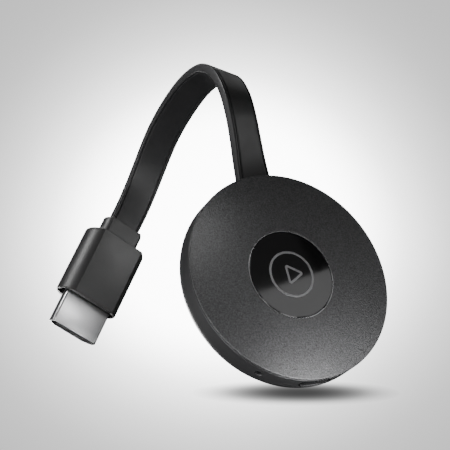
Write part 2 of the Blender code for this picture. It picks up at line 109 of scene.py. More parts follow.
# A black ring of painted shade in the rim's opening, in front of the socket's mouth: where it
# starts and ends along the socket
MOUTH_SHADE_FROM, MOUTH_SHADE_TO = -0.38, -0.03
TONGUE_W, TONGUE_T = 4.0, 0.6
TONGUE_FROM, TONGUE_TO = 0.8, 4.6
TONGUE_RISE = 0.2
STRIPS = 5
STRIP_W, STRIP_T = 0.34, 0.08
STRIP_FROM, STRIP_TO = 3.0, 4.4
STRIP_PITCH = 0.65
LIGHT_ANGLE = math.radians(-122.0)
BUTTON_ANGLE = math.radians(-52.0)
BUTTON_R = 1.2
BUTTON_TOP = -0.1  # from the casing's radius, as the next three
BUTTON_DISH = -0.14
FLANGE_TOP = -1.9
FLANGE_BOTTOM = -2.3
FLANGE_R = 1.55
FLANGE_CLEARANCE = 0.3
PIPE_R = 0.6
PIPE_TIP = 25.75  # from the casing's middle
PIPE_ROOT = 22.4

# Screw bosses on the rear cover's floor
BOARD_BACK = -5.7
BOSS_GAP = 0.3
BOSS_R = 2.1
SCREW_HOLE_R = 1.0
SCREW_SPOTS = ((15.5, 5.6), (-15.5, 5.6), (0.0, -16.3))

# Flat cable
CABLE_W = 8.9
CABLE_T = 2.3
CABLE_Z = -5.4
CABLE_CORNER = 0.4
GROOVE_IN = 0.85  # from the cable's edge to the middle of the groove along it
GROOVE_W = 0.36
GROOVE_DEPTH = 0.22
GROOVE_LIP = 0.06
CABLE_STATIONS = 260
SAMPLES_PER_SPAN = 24
ROUTE_EXIT = 1  # the route point where the cable leaves the rim

# Middle line of the cable and the heading of its width, in millimetres in the row frame
CABLE_ROUTE = (
    ((0.0, 12.56, 42.56), (1.00, 0.00, 0.00)),
    ((0.0, 14.26, 45.51), (1.00, 0.00, 0.00)),
    ((-0.1, 16.5, 51.1), (0.99, 0.14, 0.00)),
    ((-0.5, 17.9, 57.1), (0.97, 0.23, 0.00)),
    ((-0.9, 19.5, 62.9), (0.97, 0.24, -0.06)),
    ((-0.9, 22.6, 68.0), (0.97, 0.17, -0.19)),
    ((-0.7, 27.5, 71.7), (0.96, 0.08, -0.28)),
    ((-0.6, 33.4, 72.8), (0.95, -0.01, -0.32)),
    ((-0.7, 39.0, 71.7), (0.95, -0.07, -0.31)),
    ((-1.1, 44.5, 69.1), (0.94, -0.10, -0.31)),
    ((-1.6, 49.4, 65.6), (0.93, -0.15, -0.32)),
    ((-2.2, 53.9, 61.6), (0.92, -0.20, -0.32)),
    ((-2.8, 58.3, 57.0), (0.92, -0.23, -0.31)),
    ((-3.3, 61.8, 52.5), (0.92, -0.25, -0.30)),
    ((-4.2, 64.8, 47.1), (0.92, -0.24, -0.31)),
    ((-5.9, 66.4, 41.5), (0.90, -0.19, -0.39)),
    ((-8.6, 66.2, 36.2), (0.86, -0.13, -0.49)),
    ((-12.0, 65.0, 31.25), (0.83, -0.07, -0.55)),
)

# Plug
COLLAR_FROM, COLLAR_TO = 0.3, 5.0
COLLAR_FLAT = 9.0
COLLAR_T = 5.6
COLLAR_BULGE = 1.4
BODY_FROM, BODY_TO = 5.3, 24.4
BODY_FLAT = 12.1
BODY_T = 10.4
BODY_BULGE = 2.85
RECESS_W, RECESS_T = 16.4, 7.2
RECESS_DEPTH = 2.5
SHELL_FROM, SHELL_TO = 20.8, 33.4
SHELL_W = 13.9
SHELL_T = 4.45
SHELL_WALL = 0.4
SHELL_SLOPE_W = 2.3
SHELL_SLOPE_T = 1.7
INSERT_FROM, INSERT_TO = 21.6, 32.5
SLOT_W, SLOT_T = 10.8, 1.5
SLOT_FLOOR = 24.0
SLOT_RISE = 0.25

mounts = {mount["name"]: mount for mount in frame["record"]["mounts"]}


# ------------------------------------------------------------------ frames
def mount_face(name):
    """The point and the outward direction of one of the record's flat faces."""
    return Vector(mounts[name]["pos_m"]), Vector(mounts[name]["axis"]).normalized()


def frame_of(origin, x, y, z):
    return Matrix.Translation(origin) @ Matrix((x, y, z)).transposed().to_4x4()


def casing_frame():
    back_point, back = mount_face("rear_face")
    out = -back
    across = Vector((1.0, 0.0, 0.0))
    return frame_of(back_point + out * CASING_DEPTH * MM, across, out.cross(across), out)


def plug_frame():
    point, face = mount_face("plug_grip_wide_face")
    ahead = mount_face("plug_stop_face")[1]
    face = (face - ahead * face.dot(ahead)).normalized()
    middle = (BODY_FROM + BODY_TO) / 2
    origin = point - face * BODY_T / 2 * MM - ahead * middle * MM
    return frame_of(origin, face.cross(ahead), face, ahead)


CASING = casing_frame()
PLUG = plug_frame()


def rim_frame(angle, distance):
    """A frame in the casing, in millimetres, whose Z points out through the rim at angle."""
    out = Vector((math.cos(angle), math.sin(angle), 0.0))
    up = Vector((0.0, 0.0, 1.0))
    return frame_of(out * distance + up * RIM_Z, up.cross(out), up, out)


def socket_frame():
    """A frame in the casing, in millimetres, whose Z runs into the power socket's mouth."""
    return frame_of(
        Vector((0.0, SOCKET_MOUTH_Y, RIM_Z)),
        Vector((-1.0, 0.0, 0.0)),
        Vector((0.0, 0.0, 1.0)),
        Vector((0.0, 1.0, 0.0)),
    )


# ------------------------------------------------------------------ outlines
def arc(centre_r, centre_z, radius, start, end, steps):
    """Points on an arc, between two angles in degrees."""
    turn = [math.radians(start + (end - start) * i / steps) for i in range(steps + 1)]
    return [(centre_r + radius * math.cos(a), centre_z + radius * math.sin(a)) for a in turn]


def softened(outline, radius, steps=6):
    """The same closed outline with each of its corners rounded."""
    points = [Vector(p) for p in outline]
    rounded = []
    for before, corner, after in zip(points[-1:] + points[:-1], points, points[1:] + points[:1]):
        back, on = (before - corner).normalized(), (after - corner).normalized()
        half = back.angle(on) / 2
        centre = corner + (back + on).normalized() * radius / math.sin(half)
        start = (corner + back * radius / math.tan(half) - centre).normalized()
        end = (corner + on * radius / math.tan(half) - centre).normalized()
        for i in range(steps + 1):
            rounded.append(tuple(centre + start.slerp(end, i / steps).normalized() * radius))
    return rounded


def rectangle(width, height):
    w, h = width / 2, height / 2
    return [(w, -h), (w, h), (-w, h), (-w, -h)]


def circle(radius, steps=48):
    return arc(0.0, 0.0, radius, 0.0, 360.0 * (1 - 1 / steps), steps - 1)


def bulged_outline(flat, thickness, bulge):
    """Two flat faces joined by two outward arcs."""
    half = thickness / 2
    radius = (half**2 + bulge**2) / (2 * bulge)
    span = math.degrees(math.asin(half / radius))
    side = arc(flat / 2 + bulge - radius, 0.0, radius, -span, span, 20)
    return side + [(-x, -y) for x, y in side]


def socket_outline(width, height, slope):
    """The power socket's section: two corners cut off on the side towards the back."""
    w, h = width / 2, height / 2
    return [(-w, h), (-w, -h + slope), (-w + slope, -h), (w - slope, -h), (w, -h + slope), (w, h)]


def shell_outline(inset=0.0):
    """The plug shell's section: its wide side at +Y and two sloped corners at -Y."""
    w, t = SHELL_W / 2 - inset, SHELL_T / 2 - inset
    cut_w, cut_t = SHELL_SLOPE_W - 0.4 * inset, SHELL_SLOPE_T - 0.4 * inset
    return [(w, t), (-w, t), (-w, cut_t - t), (cut_w - w, -t), (w - cut_w, -t), (w, cut_t - t)]


# ------------------------------------------------------------------ shapes
def turned(profile, steps=TURN_STEPS):
    """A profile of (radius, height) points turned once round Z."""
    bm = bmesh.new()
    points = [bm.verts.new((r, 0.0, z)) for r, z in profile]
    for a, b in zip(points, points[1:]):
        bm.edges.new((a, b))
    bmesh.ops.spin(
        bm,
        geom=bm.verts[:] + bm.edges[:],
        cent=(0.0, 0.0, 0.0),
        axis=(0.0, 0.0, 1.0),
        angle=2 * math.pi,
        steps=steps,
        use_merge=True,
    )
    bmesh.ops.remove_doubles(bm, verts=bm.verts, dist=0.0001)
    bmesh.ops.recalc_face_normals(bm, faces=bm.faces)
    return bm


def ring(inner, outer, low, high, soft=0.04):
    """A flat ring with softened edges, turned round Z."""
    section = softened([(inner, low), (outer, low), (outer, high), (inner, high)], soft, 2)
    return turned(section + section[:1])


def prism(outline, low, high, bevel=0.0, segments=3):
    """A closed outline raised along Z, with the rims of both ends rounded by bevel."""
    bm = bmesh.new()
    face = bm.faces.new([bm.verts.new((x, y, low)) for x, y in outline])
    raised = bmesh.ops.extrude_face_region(bm, geom=[face])
    top = [v for v in raised["geom"] if isinstance(v, bmesh.types.BMVert)]
    bmesh.ops.translate(bm, vec=(0, 0, high - low), verts=top)
    bmesh.ops.recalc_face_normals(bm, faces=bm.faces)
    if bevel:
        round_rims(bm, (low, high), bevel, segments)
    return bm


def round_rims(bm, heights, bevel, segments):
    """Rounds the edges that lie flat at any of the heights."""
    rims = [
        edge
        for edge in bm.edges
        if any(all(abs(v.co.z - h) < 1e-5 for v in edge.verts) for h in heights)
        and len(edge.link_faces) == 2
        and edge.calc_face_angle() > 0.5
    ]
    bmesh.ops.bevel(
        bm,
        geom=rims,
        offset=bevel,
        offset_type="OFFSET",
        segments=segments,
        profile=0.5,
        affect="EDGES",
        material=-1,
    )


def moved(bm, matrix):
    bm.transform(matrix)
    return bm


def carved(bm, others, operation="DIFFERENCE"):
    """The shape with the others cut out of it, or joined to it. All of them are used up."""
    made = []
    for shape in [bm] + others:
        mesh = bpy.data.meshes.new("carving")
        shape.to_mesh(mesh)
        shape.free()
        made.append(bpy.data.objects.new("carving", mesh))
        bpy.context.scene.collection.objects.link(made[-1])
    for other in made[1:]:
        boolean = made[0].modifiers.new("cut", "BOOLEAN")
        boolean.operation = operation
        boolean.solver = "EXACT"
        boolean.object = other
    evaluated = made[0].evaluated_get(bpy.context.evaluated_depsgraph_get())
    result = bmesh.new()
    result.from_mesh(evaluated.data)
    for obj in made:
        mesh = obj.data
        bpy.data.objects.remove(obj, do_unlink=True)
        bpy.data.meshes.remove(mesh)
    return result


def piece(name, bm, place, material, body, stands_for=()):
    """Puts a finished shape in the row frame as a named piece on its body."""
    bm.transform(place @ Matrix.Scale(MM, 4))
    mesh = bpy.data.meshes.new(name)
    bm.to_mesh(mesh)
    bm.free()
    mesh.materials.append(material)
    mesh.shade_smooth()
    mesh.set_sharp_from_angle(angle=SMOOTH_ANGLE)
    obj = bpy.data.objects.new(name, mesh)
    bpy.context.scene.collection.objects.link(obj)
    if body:
        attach(obj, body)
    if stands_for:
        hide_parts(*stands_for)
    return obj


# ------------------------------------------------------------------ finishes
def noise(nodes, links, coordinates, size):
    """A noise pattern whose features are about size millimetres across."""
    texture = nodes.new("ShaderNodeTexNoise")
    texture.inputs["Scale"].default_value = 1.0 / (size * MM)
    texture.inputs["Detail"].default_value = 3.0
    texture.inputs["Roughness"].default_value = 0.55
    links.new(coordinates.outputs["Object"], texture.inputs["Vector"])
    return texture.outputs["Fac"]


def spread_over(nodes, links, value, low, high):
    """Stretches a noise's middle values over low to high."""
    stretch = nodes.new("ShaderNodeMapRange")
    stretch.inputs["From Min"].default_value = 0.25
    stretch.inputs["From Max"].default_value = 0.75
    stretch.inputs["To Min"].default_value = low
    stretch.inputs["To Max"].default_value = high
    links.new(value, stretch.inputs["Value"])
    return stretch.outputs["Result"]


def finish(
    name,
    colour,
    roughness,
    metallic=0.0,
    grain=0.3,
    grain_height=0.01,
    speckle=0.1,
    gloss_change=0.05,
    mottling=6.0,
    specular=0.5,
):
    """A surface with fine grain in its colour and height and slow mottling in its gloss.

    grain and mottling are feature sizes and grain_height a height, all in millimetres.
    """
    material = bpy.data.materials.new(name)
    material.use_nodes = True
    nodes, links = material.node_tree.nodes, material.node_tree.links
    shader = nodes["Principled BSDF"]
    shader.inputs["Metallic"].default_value = metallic
    shader.inputs["Specular IOR Level"].default_value = specular
    coordinates = nodes.new("ShaderNodeTexCoord")
    fine = noise(nodes, links, coordinates, grain)
    slow = noise(nodes, links, coordinates, mottling)
    tone = nodes.new("ShaderNodeMix")
    tone.data_type = "RGBA"
    tone.inputs["A"].default_value = (*[c * (1 - speckle) for c in colour], 1.0)
    tone.inputs["B"].default_value = (*[c * (1 + speckle) for c in colour], 1.0)
    links.new(spread_over(nodes, links, fine, 0.0, 1.0), tone.inputs["Factor"])
    links.new(tone.outputs["Result"], shader.inputs["Base Color"])
    gloss = spread_over(nodes, links, slow, roughness - gloss_change, roughness + gloss_change)
    links.new(gloss, shader.inputs["Roughness"])
    bump = nodes.new("ShaderNodeBump")
    bump.inputs["Strength"].default_value = 1.0
    bump.inputs["Distance"].default_value = grain_height * MM
    links.new(fine, bump.inputs["Height"])
    links.new(bump.outputs["Normal"], shader.inputs["Normal"])
    return material


FINISH_LIST = (
    finish("front_grain", (0.030, 0.030, 0.031), 0.43, grain=0.36, grain_height=0.12, speckle=0.9),
    finish("band_satin", (0.026, 0.026, 0.027), 0.36, grain=0.16, grain_height=0.006),
    finish(
        "badge_gloss", (0.003, 0.003, 0.0032), 0.05, grain=1.5, grain_height=0.0006,
        speckle=0.15, gloss_change=0.015,
    ),
    # Light grey metal for the ring round the badge: a painted highlight on the pocket's edge
    finish("badge_painted_highlight", (0.34, 0.34, 0.345), 0.28, metallic=0.9, grain=0.12),
    finish("badge_mark", (0.11, 0.11, 0.113), 0.45, grain=0.1, speckle=0.2),
    finish(
        "cable_skin", (0.020, 0.020, 0.021), 0.44, grain=0.22, grain_height=0.005,
        gloss_change=0.06, mottling=9.0,
    ),
    finish("plug_skin", (0.026, 0.026, 0.026), 0.40, grain=0.2, grain_height=0.006, mottling=7.0),
    finish(
        "plated_steel", (0.74, 0.74, 0.75), 0.30, metallic=1.0, grain=0.35, grain_height=0.0008,
        speckle=0.03, gloss_change=0.02, mottling=8.0,
    ),
    # Steel painted near black and dull, as shade inside the socket's mouth
    finish("socket_steel_painted_shade", (0.008, 0.008, 0.0085), 0.6, specular=0.06),
    finish("insert_black", (0.007, 0.007, 0.0073), 0.6, grain=0.15, specular=0.1),
    finish("gold_plate", (0.85, 0.66, 0.33), 0.25, metallic=1.0, grain=0.2, grain_height=0.002),
    finish("smoked_pipe", (0.005, 0.005, 0.0055), 0.45, specular=0.1),
    finish("board_mask", (0.015, 0.085, 0.040), 0.35, grain=0.5, speckle=0.25),
    finish("chip_epoxy", (0.018, 0.018, 0.020), 0.55, grain=0.12, speckle=0.3),
    finish("ceramic", (0.42, 0.40, 0.36), 0.5, grain=0.1),
    finish("spring_steel", (0.33, 0.33, 0.34), 0.35, metallic=1.0, grain=0.4, speckle=0.2),
    finish("thermal_grey", (0.34, 0.37, 0.41), 0.85, grain=0.25, speckle=0.2),
    finish("adhesive_film", (0.70, 0.70, 0.67), 0.7, grain=0.4),
)
FINISHES = {material.name: material for material in FINISH_LIST}


# ------------------------------------------------------------------ casing
def front_cover():
    """The grained disc, with the badge's pocket and a locating ring that has two reliefs."""
    edge = CASING_R - FACE_EDGE_R
    lip = 0.12
    profile = [(0.0, -POCKET_DEPTH), (POCKET_R, -POCKET_DEPTH), (POCKET_R, -2 * lip)]
    profile += arc(POCKET_R + lip, -lip, lip, 180, 90, 4)
    profile += [(POCKET_R + 3 * lip, 0.0), (edge - 0.1, 0.0)]
    profile += arc(edge, -FACE_EDGE_R, FACE_EDGE_R, 90, 0, 5)
    profile += [
        (CASING_R, -RIM_THICKNESS),
        (LOCATING_R, -RIM_THICKNESS),
        (LOCATING_R, -LOCATING_DEPTH),
        (LOCATING_R - LOCATING_WALL, -LOCATING_DEPTH),
        (LOCATING_R - LOCATING_WALL, -COVER_THICKNESS),
        (0.0, -COVER_THICKNESS),
    ]
    size = Matrix.Diagonal(SOCKET_RELIEF_SIZE).to_4x4()
    socket_relief = bmesh.new()
    bmesh.ops.create_cube(
        socket_relief, size=1.0, matrix=Matrix.Translation(SOCKET_RELIEF_AT) @ size
    )
    button_relief = prism(circle(FLANGE_R + FLANGE_CLEARANCE), CUT_IN, CUT_OUT)
    button_relief = moved(button_relief, rim_frame(BUTTON_ANGLE, CASING_R))
    cover = carved(turned(profile), [socket_relief, button_relief])
    piece(
        "front_cover_grained", cover, CASING, FINISHES["front_grain"], "casing",
        ["front_cover"],
    )


def rear_cover():
    """The satin cup: side band, rounded back, screw bosses and the openings in the rim."""
    edge, floor = CASING_R - BACK_FILLET, -CASING_DEPTH
    lip = 0.14
    profile = [(CASING_R - WALL, SEAM_Z), (CASING_R - 2 * lip, SEAM_Z)]
    profile += arc(CASING_R - lip, SEAM_Z - lip, lip, 90, 0, 4)
    profile += [(CASING_R, SEAM_Z - 3 * lip), (CASING_R, 0.3 - BAND_DEPTH)]
    profile += arc(edge, -BAND_DEPTH, BACK_FILLET, 0, -75, 20)
    profile += [(BACK_FLAT_R + 0.6, floor + 0.06), (BACK_FLAT_R, floor), (BACK_FLAT_R - 1, floor)]
    profile += [(0.0, floor), (0.0, floor + WALL), (BACK_FLAT_R, floor + WALL)]
    profile += arc(edge, -BAND_DEPTH, BACK_FILLET - WALL, -75, 0, 10)
    boss_top = BOARD_BACK - BOSS_GAP
    bosses, holes = [], []
    for x, y in SCREW_SPOTS:
        spot = Matrix.Translation((x, y, 0.0))
        bosses.append(moved(prism(circle(BOSS_R), floor + WALL / 2, boss_top), spot))
        holes.append(moved(prism(circle(SCREW_HOLE_R, 32), floor + WALL, boss_top + 1), spot))
    shell = carved(turned(profile + profile[:1]), bosses, "UNION")
    holes += rim_openings()
    piece(
        "rear_cover_satin", carved(shell, holes), CASING, FINISHES["band_satin"], "casing",
        ["rear_cover"],
    )


def rim_openings():
    """Cutters for the socket's mouth, the cable's slot and the light's and button's holes."""
    spread = 2 * SOCKET_CLEARANCE
    mouth = softened(socket_outline(SOCKET_W + spread, SOCKET_H + spread, 1.0), 0.35)
    openings = [moved(prism(mouth, -3.0, 3.0), socket_frame())]
    spread = 2 * SLOT_CLEARANCE
    slot = softened(rectangle(CABLE_W + spread, CABLE_T + spread), 0.6)
    upwards = frame_of(
        Vector((0.0, CASING_R, CABLE_Z)),
        Vector((1.0, 0.0, 0.0)),
        Vector((0.0, 0.0, -1.0)),
        Vector((0.0, 1.0, 0.0)),
    )
    openings.append(moved(prism(slot, CUT_IN, CUT_OUT), upwards))
    for radius, steps, angle in ((PIPE_R, 48, LIGHT_ANGLE), (BUTTON_R, 64, BUTTON_ANGLE)):
        hole = turned(hole_profile(radius + HOLE_CLEARANCE), steps)
        openings.append(moved(hole, rim_frame(angle, CASING_R)))
    return openings


def hole_profile(radius):
    """A cutter for a round hole in the rim whose mouth is slightly flared."""
    mouth = radius + HOLE_FLARE
    flared = [(0.0, CUT_OUT), (mouth, CUT_OUT), (mouth, 0.0)]
    return flared + [(radius, -HOLE_FLARE), (radius, CUT_IN), (0.0, CUT_IN)]


def badge():
    """The polished inlay, and round it a light grey ring that is a painted highlight on the
    pocket's edge.
    """
    edge = 0.16
    profile = [(0.0, BADGE_TOP), (BADGE_R - 2 * edge, BADGE_TOP)]
    profile += arc(BADGE_R - edge, BADGE_TOP - edge, edge, 90, 0, 5)
    profile += [(BADGE_R, BADGE_BOTTOM), (0.0, BADGE_BOTTOM)]
    piece(
        "badge_polished", turned(profile), CASING, FINISHES["badge_gloss"], "casing",
        ["badge_inlay"],
    )
    highlight_ring = ring(HIGHLIGHT_RING_INNER_R, HIGHLIGHT_RING_OUTER_R, HIGHLIGHT_RING_LOW, HIGHLIGHT_RING_HIGH)
    piece("badge_painted_highlight_ring", highlight_ring, CASING, FINISHES["badge_painted_highlight"], "casing")


def play_triangle(reach):
    """A triangle that points to +X, with its corners at reach from its middle."""
    return arc(0.0, 0.0, reach, 0.0, 240.0, 2)


def badge_mark():
    """A plain mark on the badge: a thin ring round an outlined play triangle."""
    low, high = BADGE_TOP - MARK_RISE, BADGE_TOP + MARK_RISE
    circle_line = ring(MARK_INNER_R, MARK_OUTER_R, low, high, 0.015)
    piece("badge_mark_ring", circle_line, CASING, FINISHES["badge_mark"], "casing")
    outer = softened(play_triangle(TRIANGLE_REACH), 0.55)
    inner = softened(play_triangle(TRIANGLE_REACH - 2 * TRIANGLE_STROKE), 0.15)
    triangle = carved(prism(outer, low, high, 0.012, 1), [prism(inner, low - 1, high + 1)])
    shift = Matrix.Translation((TRIANGLE_SHIFT, 0.0, 0.0))
    piece(
        "badge_mark_triangle", moved(triangle, shift), CASING, FINISHES["badge_mark"], "casing",
    )


# ------------------------------------------------------------------ rim details
def reset_button():
    """The button with its slightly dished top, and the flange that holds it in."""
    soft = 0.22
    profile = [(0.0, BUTTON_DISH), (BUTTON_R - 2 * soft, BUTTON_TOP)]
    profile += arc(BUTTON_R - soft, BUTTON_TOP - soft, soft, 90, 0, 5)
    profile += [(BUTTON_R, FLANGE_TOP), (FLANGE_R, FLANGE_TOP)]
    profile += [(FLANGE_R, FLANGE_BOTTOM), (0.0, FLANGE_BOTTOM)]
    button = moved(turned(profile, 64), rim_frame(BUTTON_ANGLE, CASING_R))
    piece(
        "reset_button_satin", button, CASING, FINISHES["band_satin"], "reset_button",
        ["reset_button"],
    )


def light_pipe():
    """The round pipe behind the status light's hole, with a domed tip."""
    domed = [(0.0, 0.0), (0.25, 0.03), (PIPE_R - 0.12, 0.12), (PIPE_R, 0.3)]
    profile = [(r, PIPE_TIP - drop) for r, drop in domed] + [(PIPE_R, PIPE_ROOT), (0.0, PIPE_ROOT)]
    pipe = moved(turned(profile, 48), rim_frame(LIGHT_ANGLE, 0.0))
    piece(
        "light_pipe_smoked", pipe, CASING, FINISHES["smoked_pipe"], "casing",
        ["light_pipe"],
    )


def power_socket():
    """The socket's pressed shell in steel painted near black as shade, a black ring of painted
    shade round its mouth, its tongue and its strips.
    """
    place = CASING @ Matrix.Scale(MM, 4) @ socket_frame() @ Matrix.Scale(1 / MM, 4)
    inner_w, inner_h = SOCKET_W - 2 * SOCKET_WALL, SOCKET_H - 2 * SOCKET_WALL
    outside = softened(socket_outline(SOCKET_W, SOCKET_H, 0.8), 0.4)
    inside = softened(socket_outline(inner_w, inner_h, 0.65), 0.25)
    shell = prism(outside, 0.0, SOCKET_LENGTH, 0.08, 2)
    shell = carved(shell, [prism(inside, -1.0, SOCKET_LENGTH - SOCKET_BACK_WALL)])
    piece(
        "power_socket_pressed_shell", shell, place, FINISHES["socket_steel_painted_shade"], "casing",
        ["power_socket_shell"],
    )
    # A black ring of painted shade fills the gap between the rim's opening and the shell
    spread = 2 * SOCKET_CLEARANCE - 0.06
    rim = softened(socket_outline(SOCKET_W + spread, SOCKET_H + spread, 1.0), 0.35)
    mouth = softened(socket_outline(SOCKET_W + 0.1, SOCKET_H + 0.1, 0.8), 0.35)
    mouth_shade_ring = carved(prism(rim, MOUTH_SHADE_FROM, MOUTH_SHADE_TO), [prism(mouth, -1.0, 1.0)])
    piece("power_socket_mouth_painted_shade", mouth_shade_ring, place, FINISHES["insert_black"], "casing")
    tongue = prism(rectangle(TONGUE_W, TONGUE_T), TONGUE_FROM, TONGUE_TO, 0.12, 2)
    piece(
        "power_socket_moulded_tongue", moved(tongue, Matrix.Translation((0, TONGUE_RISE, 0))),
        place, FINISHES["insert_black"], "casing", ["power_socket_tongue"],
    )
    under = TONGUE_RISE - (TONGUE_T + STRIP_T) / 2
    for i in range(STRIPS):
        strip = prism(softened(rectangle(STRIP_W, STRIP_T), 0.03, 2), STRIP_FROM, STRIP_TO)
        across = (i - (STRIPS - 1) / 2) * STRIP_PITCH
        piece(
            f"power_socket_strip_{i + 1}", moved(strip, Matrix.Translation((across, under, 0))),
            place, FINISHES["gold_plate"], "casing",
        )


# ------------------------------------------------------------------ flat cable
def route_samples():
    """A smooth line through the route, as (points, width headings)."""
    data = np.array([p + w for p, w in CABLE_ROUTE])
    ends = np.vstack([2 * data[0] - data[1], data, 2 * data[-1] - data[-2]])
    samples = []
    for a, b, c, d in zip(ends, ends[1:], ends[2:], ends[3:]):
        for t in np.arange(SAMPLES_PER_SPAN) / SAMPLES_PER_SPAN:
            bend = (2 * a - 5 * b + 4 * c - d) * t**2 + (3 * b - a - 3 * c + d) * t**3
            samples.append(0.5 * (2 * b + (c - a) * t + bend))
    samples.append(data[-1])
    samples = np.array(samples)
    return samples[:, :3], samples[:, 3:]


def cable_stations(count):
    """Frames along the cable, in millimetres: X its width, Y out of its face, Z along it."""
    points, headings = route_samples()
    steps = np.linalg.norm(np.diff(points, axis=0), axis=1)
    along = np.concatenate([[0.0], np.cumsum(steps)])
    tangents = np.gradient(points, along, axis=0)
    stations = []
    for s in np.linspace(0.0, along[-1], count):
        point, ahead, wide = (
            Vector([np.interp(s, along, values[:, k]) for k in range(3)])
            for values in (points, tangents, headings)
        )
        ahead.normalize()
        wide = (wide - ahead * wide.dot(ahead)).normalized()
        stations.append(frame_of(point, wide, wide.cross(ahead), ahead))
    return stations


def cable_outline():
    """The cable's section: round corners and a narrow groove along each edge of both faces."""
    w, t, r = CABLE_W / 2, CABLE_T / 2, CABLE_CORNER
    middle, lip = w - GROOVE_IN, GROOVE_W / 2
    flat_from = middle - lip - 0.4
    slope = [(lip + GROOVE_LIP, 0.0), (lip * 0.6, 0.05)]
    groove = slope + [(0.0, GROOVE_DEPTH)] + [(-x, drop) for x, drop in reversed(slope)]
    edge = arc(w - r, t - r, r, 0, 90, 6)
    edge += [(middle + x, t - drop) for x, drop in groove]
    edge.append((flat_from, t))
    flat = [(flat_from / 2, t), (0.0, t), (-flat_from / 2, t)]
    upper = edge + flat + [(-x, y) for x, y in reversed(edge)]
    return upper + [(-x, -y) for x, y in upper]


def flat_cable(plug_pieces):
    """The cable's one skin, drawn through all its stations up to where the plug sits."""
    stations = cable_stations(CABLE_STATIONS)
    bm = bmesh.new()
    face = bm.faces.new([bm.verts.new((x, y, 0.0)) for x, y in cable_outline()])
    bm.transform(stations[0])
    for here, there in zip(stations, stations[1:]):
        raised = bmesh.ops.extrude_face_region(bm, geom=[face])["geom"]
        face = next(f for f in raised if isinstance(f, bmesh.types.BMFace))
        step = there @ here.inverted()
        bmesh.ops.transform(bm, matrix=step, verts=list(face.verts))
    bmesh.ops.recalc_face_normals(bm, faces=bm.faces)
    cable = piece(
        "flat_cable_moulded", bm, Matrix.Identity(4), FINISHES["cable_skin"], None,
        ["flat_cable_casing_leg", "flat_cable_plug_leg"],
    )
    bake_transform(cable)
    points = route_samples()[0][SAMPLES_PER_SPAN * ROUTE_EXIT :: 6] * MM


# ------------------------------------------------------------------ plug
def shouldered(flat, thickness, bulge, low, high, corner_low, corner_high, crisp):
    """A bulged bar along Z whose bulging sides round off towards both ends."""
    turns = [math.radians(15 * i) for i in range(7)]
    rounding = [(1 - math.cos(turn), 1 - math.sin(turn)) for turn in turns]
    levels = [(low + corner_low * rise, bulge - corner_low * tuck) for rise, tuck in rounding]
    levels += [
        (high - corner_high * rise, bulge - corner_high * tuck)
        for rise, tuck in reversed(rounding)
    ]
    bm = bmesh.new()
    outline = bulged_outline(flat, thickness, bulge)
    face = bm.faces.new([bm.verts.new((x, y, low)) for x, y in outline])
    narrow(face.verts, flat, bulge, levels[0][1])
    for (z, kept), (next_z, next_kept) in zip(levels, levels[1:]):
        raised = bmesh.ops.extrude_face_region(bm, geom=[face])["geom"]
        face = next(f for f in raised if isinstance(f, bmesh.types.BMFace))
        bmesh.ops.translate(bm, vec=(0, 0, next_z - z), verts=list(face.verts))
        narrow(face.verts, flat, kept, next_kept)
    bmesh.ops.recalc_face_normals(bm, faces=bm.faces)
    round_rims(bm, (low, high), crisp, 3)
    return bm


def narrow(verts, flat, before, after):
    """Draws what bulges past the flat in or out, from one bulge to another."""
    for vert in verts:
        beyond = abs(vert.co.x) - flat / 2
        if beyond > 0:
            vert.co.x = math.copysign(flat / 2 + beyond * after / before, vert.co.x)


def plug():
    """Everything on the cable's end. Returns the new pieces."""
    collar = shouldered(
        COLLAR_FLAT, COLLAR_T, COLLAR_BULGE, COLLAR_FROM, COLLAR_TO,
        corner_low=0.9, corner_high=0.1, crisp=0.12,
    )
    body = shouldered(
        BODY_FLAT, BODY_T, BODY_BULGE, BODY_FROM, BODY_TO,
        corner_low=1.3, corner_high=0.4, crisp=0.22,
    )
    recess = softened(rectangle(RECESS_W, RECESS_T), 2.2, 8)
    recess = prism(recess, BODY_TO - RECESS_DEPTH, BODY_TO + 1)
    neck = prism(softened(shell_outline(-0.3), 0.6), SHELL_FROM - 0.3, BODY_TO)
    body = carved(body, [recess, neck])
    shell = carved(
        prism(softened(shell_outline(), 0.6), SHELL_FROM, SHELL_TO, 0.1, 2),
        [prism(softened(shell_outline(SHELL_WALL), 0.3), SHELL_FROM + 0.5, SHELL_TO + 1)],
    )
    slot = prism(rectangle(SLOT_W, SLOT_T), SLOT_FLOOR, SHELL_TO)
    insert = carved(
        prism(softened(shell_outline(SHELL_WALL + 0.2), 0.25), INSERT_FROM, INSERT_TO, 0.08, 2),
        [moved(slot, Matrix.Translation((0, SLOT_RISE, 0)))],
    )
    return [
        piece("plug_collar_moulded", collar, PLUG, FINISHES["plug_skin"], "plug_end",
              ["plug_collar"]),
        piece("plug_grip_moulded", body, PLUG, FINISHES["plug_skin"], "plug_end",
              ["plug_overmold"]),
        piece("plug_shell_plated", shell, PLUG, FINISHES["plated_steel"], "plug_end",
              ["plug_shell"]),
        piece("plug_insert_moulded", insert, PLUG, FINISHES["insert_black"], "plug_end",
              ["plug_insert"]),
        frame["nodes"]["plug_contacts_upper"],
        frame["nodes"]["plug_contacts_lower"],
    ]


